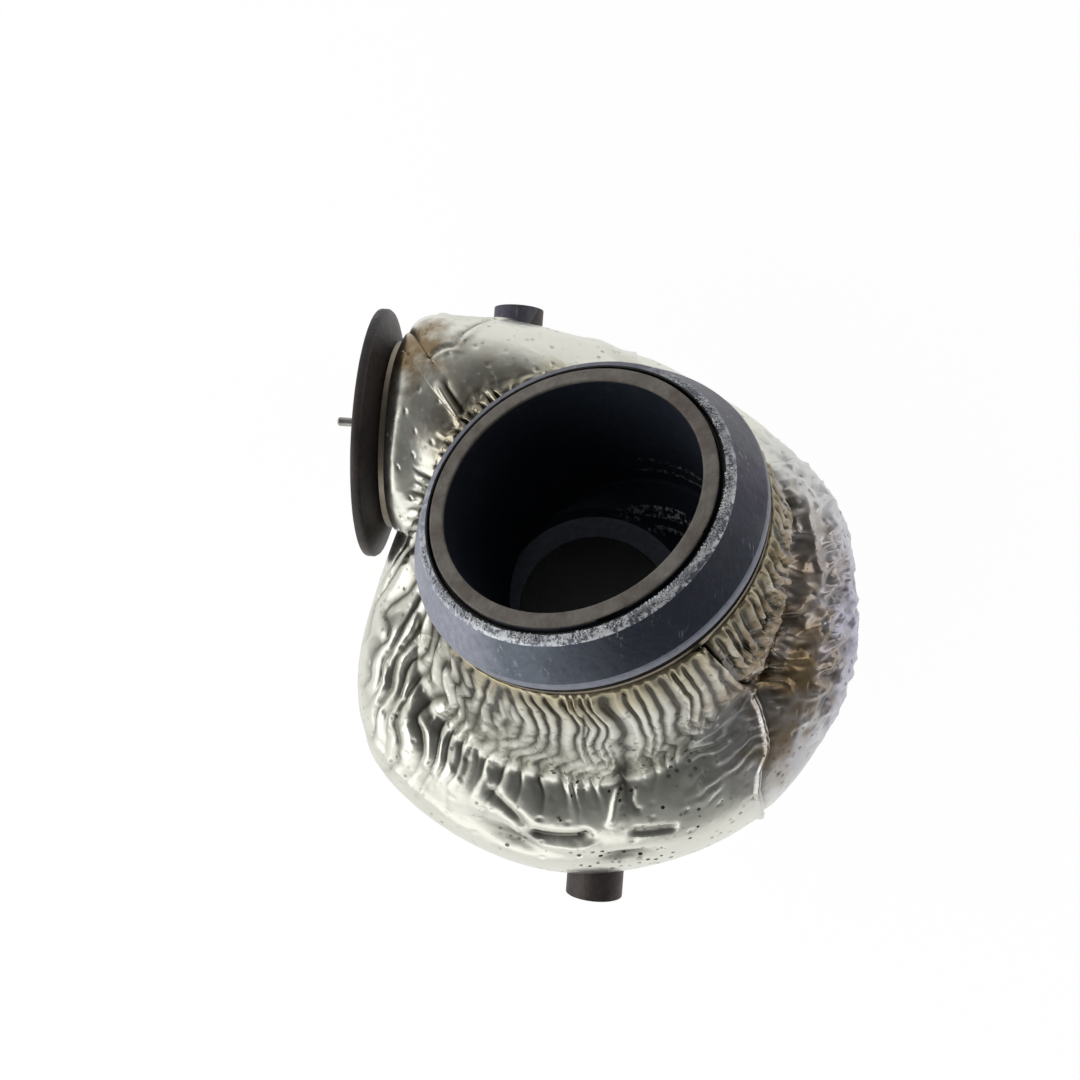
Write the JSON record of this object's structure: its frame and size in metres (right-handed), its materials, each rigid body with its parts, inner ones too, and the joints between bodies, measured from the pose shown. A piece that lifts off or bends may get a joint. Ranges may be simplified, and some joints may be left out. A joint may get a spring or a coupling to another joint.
{
  "type": "foil-insulated turbocharger turbine housing",
  "caption": "Cast turbine housing with tangential gas inlet and angled V-band outlet, wrapped in a crinkled metal foil heat cover.",
  "frame": {"origin": "centre of the bearing side flange face, on the turbine axis", "axes": "+Z along the turbine axis, from the bearing side towards the gas outlet; -X is the way the gas inlet faces; +Y towards the inlet duct's side"},
  "size_m": [0.1884, 0.215, 0.1701],
  "materials": {
    "cast_iron": "rough cast, heat stained",
    "foil": "thin crinkled stainless foil, heat tinted",
    "hem": "rolled stainless strip, heat stained",
    "pin": "ground steel",
    "mat": "pressed ceramic fibre"
  },
  "bodies": {
    "root": {"turbine_housing": "cast_iron", "inlet_dowel_pin": "pin", "outlet_hem_ring": "hem", "base_hem_ring": "hem", "front_left_foil": "foil", "front_right_foil": "foil", "top_foil": "foil", "rear_left_foil": "foil", "rear_right_foil": "foil", "inlet_hem_ring": "hem", "front_mat": "mat", "duct_mat": "mat", "neck_mat": "mat", "rear_left_mat": "mat", "rear_right_mat": "mat"}
  },
  "joints": []
}
